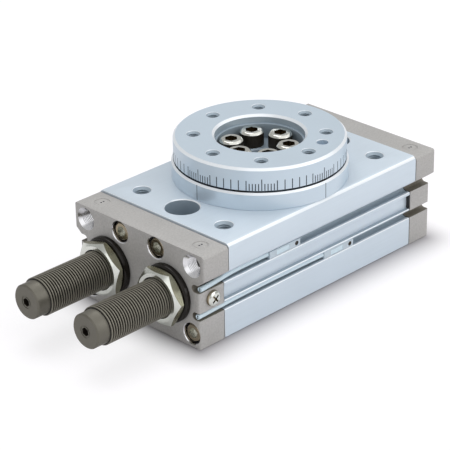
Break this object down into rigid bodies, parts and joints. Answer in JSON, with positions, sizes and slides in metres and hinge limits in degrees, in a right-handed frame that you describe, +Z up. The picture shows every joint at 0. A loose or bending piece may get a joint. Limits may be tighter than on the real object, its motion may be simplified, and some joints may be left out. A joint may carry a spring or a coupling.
{
  "type": "pneumatic rotary table",
  "caption": "Rack and pinion rotary table driven by air, with a round mounting table on a ball bearing, adjustable shock absorbers and sensor grooves in an extruded body.",
  "frame": {"origin": "on the table's axis, in the bottom face of the housing", "axes": "+Z up along the table's axis, +X along the cylinders from the absorber end to the plain end, +Y to the left side"},
  "size_m": [0.224, 0.091, 0.074],
  "materials": {
    "body_aluminium": "silver anodised, satin",
    "cover_aluminium": "as cast and shot blasted, satin grey",
    "ring_aluminium": "silver anodised, satin",
    "table_aluminium": "silver anodised, fine turned",
    "black_rubber": "matte",
    "dark_steel": "black oxide",
    "table_screw_steel": "oiled, knurled heads",
    "zinc_steel": "zinc plated",
    "bearing_steel": "ground and polished",
    "shaft_steel": "ground",
    "black_steel": "phosphated, satin",
    "nickel_steel": "nickel plated",
    "black_washer": "black, satin",
    "urethane": "matte",
    "wear_plastic": "matte",
    "magnet_alloy": "sintered",
    "sensor_plastic": "light, translucent",
    "lead_sheath": "light blue sheath"
  },
  "bodies": {
    "housing": {"body_housing": "body_aluminium", "front_cover": "cover_aluminium", "rear_cover": "cover_aluminium", "front_gasket": "black_rubber", "rear_gasket": "black_rubber", "bearing_retainer": "ring_aluminium", "retainer_screws": "dark_steel", "front_cover_screws": "dark_steel", "rear_cover_screws": "dark_steel", "passage_plugs": "cover_aluminium", "side_screws": "zinc_steel", "upper_bearing_outer_ring": "bearing_steel", "lower_bearing_outer_ring": "bearing_steel", "rear_buffers": "urethane", "upper_sensor": "sensor_plastic", "lower_sensor": "sensor_plastic", "sensor_screws": "zinc_steel", "upper_sensor_lead": "lead_sheath", "lower_sensor_lead": "lead_sheath", "right_absorber_barrel": "black_steel", "right_lock_nut": "nickel_steel", "right_seal_washer": "black_washer", "right_rubber_ring": "black_rubber", "left_absorber_barrel": "black_steel", "left_lock_nut": "nickel_steel", "left_seal_washer": "black_washer", "left_rubber_ring": "black_rubber"},
    "table": {"table": "table_aluminium", "pinion": "shaft_steel", "table_screws": "table_screw_steel", "table_pin": "bearing_steel", "upper_bearing_inner_ring": "bearing_steel", "lower_bearing_inner_ring": "bearing_steel", "shaft_snap_ring": "dark_steel"},
    "upper_cage": {"upper_bearing_balls": "bearing_steel"},
    "lower_cage": {"lower_bearing_balls": "bearing_steel"},
    "right_rack": {"right_rack_piston": "shaft_steel", "right_piston_seals": "black_rubber", "right_piston_wear_rings": "wear_plastic", "right_strike_plug": "bearing_steel", "right_piston_magnet": "magnet_alloy"},
    "right_plunger": {"right_plunger_rod": "bearing_steel"},
    "left_rack": {"left_rack_piston": "shaft_steel", "left_piston_seals": "black_rubber", "left_piston_wear_rings": "wear_plastic", "left_strike_plug": "bearing_steel", "left_piston_magnet": "magnet_alloy"},
    "left_plunger": {"left_plunger_rod": "bearing_steel"}
  },
  "joints": [
    {"name": "table_spin", "type": "hinge", "parent": "housing", "child": "table", "pos_m": [0, 0, 0.062], "axis": [0, 0, 1], "range_deg": [-95, 95]},
    {"name": "upper_cage_spin", "type": "hinge", "parent": "housing", "child": "upper_cage", "pos_m": [0, 0, 0.0475], "axis": [0, 0, 1], "range_deg": [-43, 43]},
    {"name": "lower_cage_spin", "type": "hinge", "parent": "housing", "child": "lower_cage", "pos_m": [0, 0, 0.0074], "axis": [0, 0, 1], "range_deg": [-44.5, 44.5]},
    {"name": "right_rack_slide", "type": "slide", "parent": "housing", "child": "right_rack", "axis": [1, 0, 0], "range_m": [-0.0208, 0.0208]},
    {"name": "left_rack_slide", "type": "slide", "parent": "housing", "child": "left_rack", "axis": [1, 0, 0], "range_m": [-0.0208, 0.0208]},
    {"name": "right_plunger_slide", "type": "slide", "parent": "housing", "child": "right_plunger", "axis": [-1, 0, 0], "range_m": [0, 0.012], "stiffness_N_per_m": 600},
    {"name": "left_plunger_slide", "type": "slide", "parent": "housing", "child": "left_plunger", "axis": [-1, 0, 0], "range_m": [0, 0.012], "stiffness_N_per_m": 600}
  ],
  "couplings": [
    {"joint": "upper_cage_spin", "follows": "table_spin", "ratio": 0.4426},
    {"joint": "lower_cage_spin", "follows": "table_spin", "ratio": 0.4596},
    {"joint": "right_rack_slide", "follows": "table_spin", "m_per_rad": 0.0125},
    {"joint": "left_rack_slide", "follows": "table_spin", "m_per_rad": -0.0125}
  ]
}
